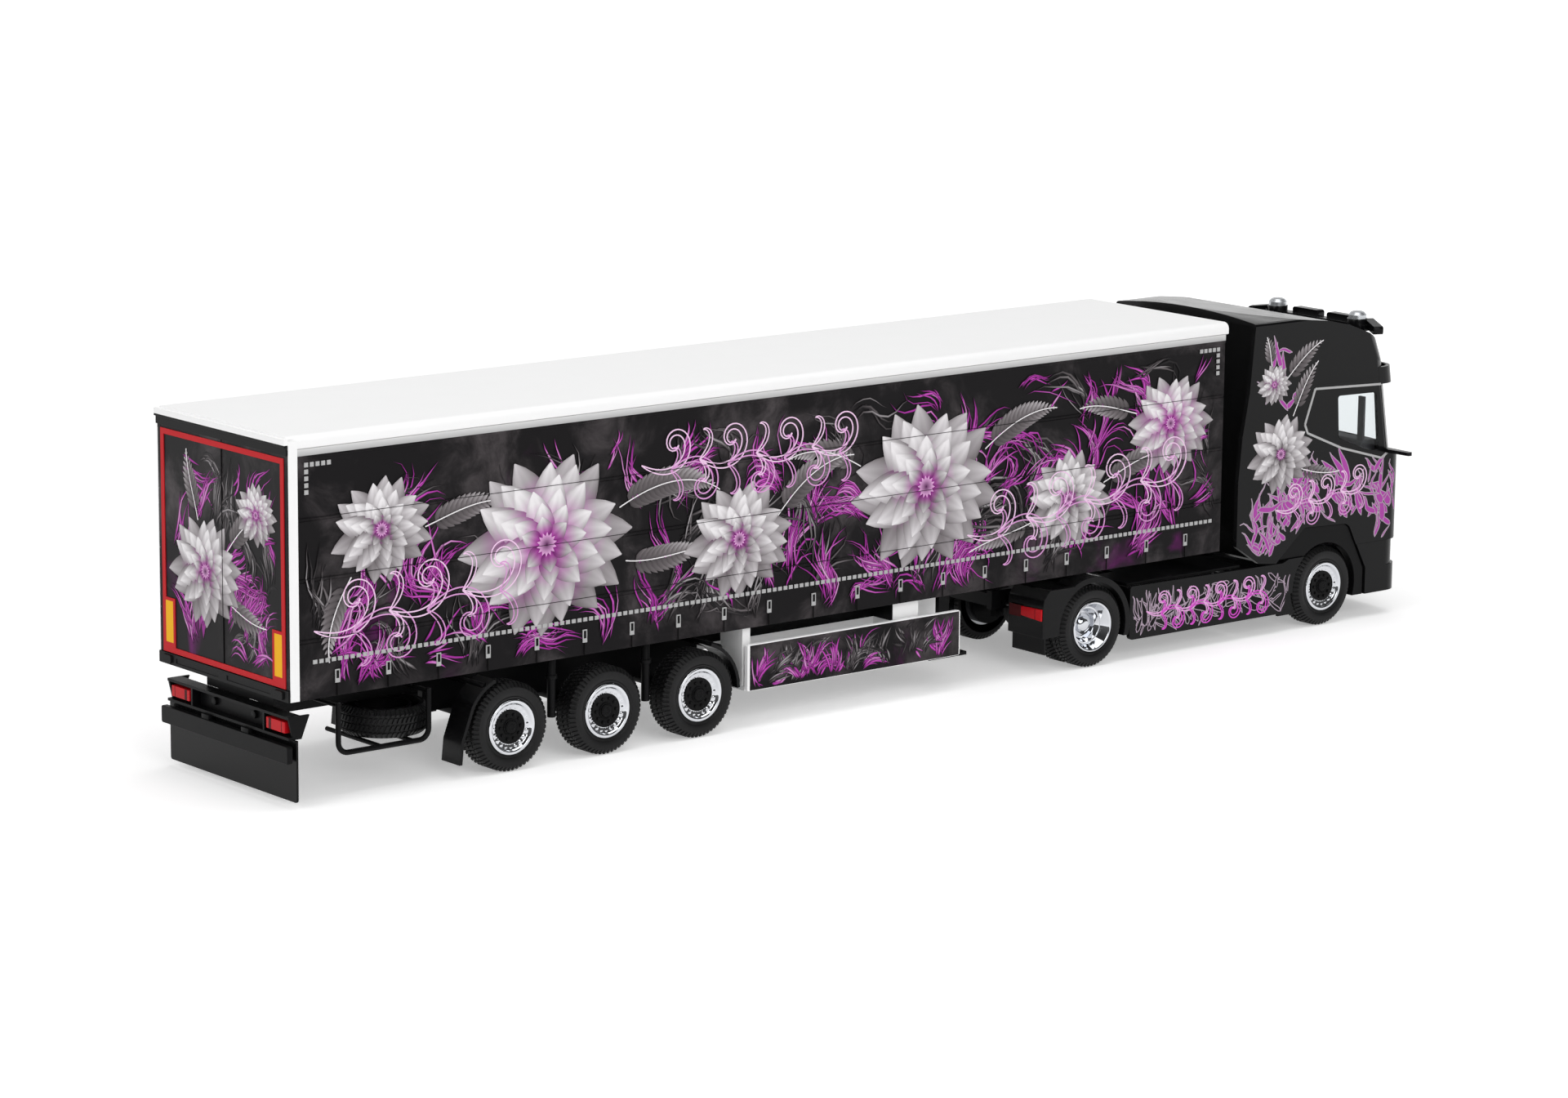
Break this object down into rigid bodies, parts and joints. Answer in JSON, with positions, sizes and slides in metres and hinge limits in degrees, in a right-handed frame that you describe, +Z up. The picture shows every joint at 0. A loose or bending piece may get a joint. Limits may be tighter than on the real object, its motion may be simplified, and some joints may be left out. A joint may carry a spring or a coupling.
{
  "type": "curtain-side semi-trailer truck scale model",
  "caption": "Small collector's scale model of a curtain-side semi-trailer truck: high-roof cab, trailer that swings on its kingpin, and wheel sets that roll freely.",
  "frame": {"origin": "on the ground under the middle of the model's box", "axes": "+X forward towards the cab, +Y to the left, +Z up"},
  "size_m": [0.196, 0.0374, 0.0463],
  "materials": {
    "printed_black": "gloss black print on moulded ABS",
    "white_abs": "satin moulded white ABS",
    "black_abs": "satin moulded black ABS",
    "grey_abs": "satin moulded dark grey ABS",
    "chromed_abs": "vacuum chromed plastic",
    "tyre_rubber": "matt black rubber",
    "red_lens": "clear red lens plastic",
    "clear_glazing": "clear polystyrene glazing",
    "silver_dome": "silver painted plastic"
  },
  "bodies": {
    "tractor": {"tractor_frame": "black_abs", "deck_plate": "black_abs", "fifth_wheel": "black_abs", "cab_shell": "printed_black", "cab_roof": "printed_black", "cab_glazing": "clear_glazing", "cab_interior": "grey_abs", "front_grille": "black_abs", "front_bumper": "printed_black", "headlamps": "clear_glazing", "sun_visor": "black_abs", "light_bar": "black_abs", "beacons": "silver_dome", "camera_arms": "black_abs", "wheel_arch_trims": "black_abs", "side_skirts": "printed_black", "rear_mudguards": "black_abs", "tractor_tail_lamps": "red_lens"},
    "trailer": {"trailer_frame": "black_abs", "trailer_floor": "white_abs", "coupling_plate": "black_abs", "front_wall": "white_abs", "curtain_left": "printed_black", "curtain_right": "printed_black", "trailer_roof": "white_abs", "rear_frame": "black_abs", "rear_doors": "printed_black", "rear_bumper": "black_abs", "trailer_tail_lamps": "red_lens", "underrun_bar": "black_abs", "rear_mudflap": "black_abs", "spare_carrier": "black_abs", "spare_tyre": "tyre_rubber", "spare_rim": "chromed_abs", "trailer_fenders": "black_abs", "pallet_boxes": "white_abs", "landing_legs": "black_abs"},
    "steer_wheels": {"steer_axle": "black_abs", "steer_rims": "chromed_abs", "steer_tyres": "tyre_rubber"},
    "drive_wheels": {"drive_axle": "black_abs", "drive_rims": "chromed_abs", "drive_tyres": "tyre_rubber"},
    "trailer_wheels_1": {"trailer_axle_1": "black_abs", "trailer_rims_1": "chromed_abs", "trailer_tyres_1": "tyre_rubber"},
    "trailer_wheels_2": {"trailer_axle_2": "black_abs", "trailer_rims_2": "chromed_abs", "trailer_tyres_2": "tyre_rubber"},
    "trailer_wheels_3": {"trailer_axle_3": "black_abs", "trailer_rims_3": "chromed_abs", "trailer_tyres_3": "tyre_rubber"}
  },
  "joints": [
    {"name": "kingpin_swing", "type": "hinge", "parent": "tractor", "child": "trailer", "pos_m": [0.04065, 0, 0.0133], "axis": [0, 0, 1], "range_deg": [-90, 90]},
    {"name": "steer_wheels_spin", "type": "hinge", "parent": "tractor", "child": "steer_wheels", "pos_m": [0.08095, 0, 0.00576], "axis": [0, 1, 0], "continuous": true},
    {"name": "drive_wheels_spin", "type": "hinge", "parent": "tractor", "child": "drive_wheels", "pos_m": [0.0351, 0, 0.00576], "axis": [0, 1, 0], "continuous": true},
    {"name": "trailer_wheels_1_spin", "type": "hinge", "parent": "trailer", "child": "trailer_wheels_1", "pos_m": [-0.06438, 0, 0.00576], "axis": [0, 1, 0], "continuous": true},
    {"name": "trailer_wheels_2_spin", "type": "hinge", "parent": "trailer", "child": "trailer_wheels_2", "pos_m": [-0.04932, 0, 0.00576], "axis": [0, 1, 0], "continuous": true},
    {"name": "trailer_wheels_3_spin", "type": "hinge", "parent": "trailer", "child": "trailer_wheels_3", "pos_m": [-0.03426, 0, 0.00576], "axis": [0, 1, 0], "continuous": true}
  ]
}
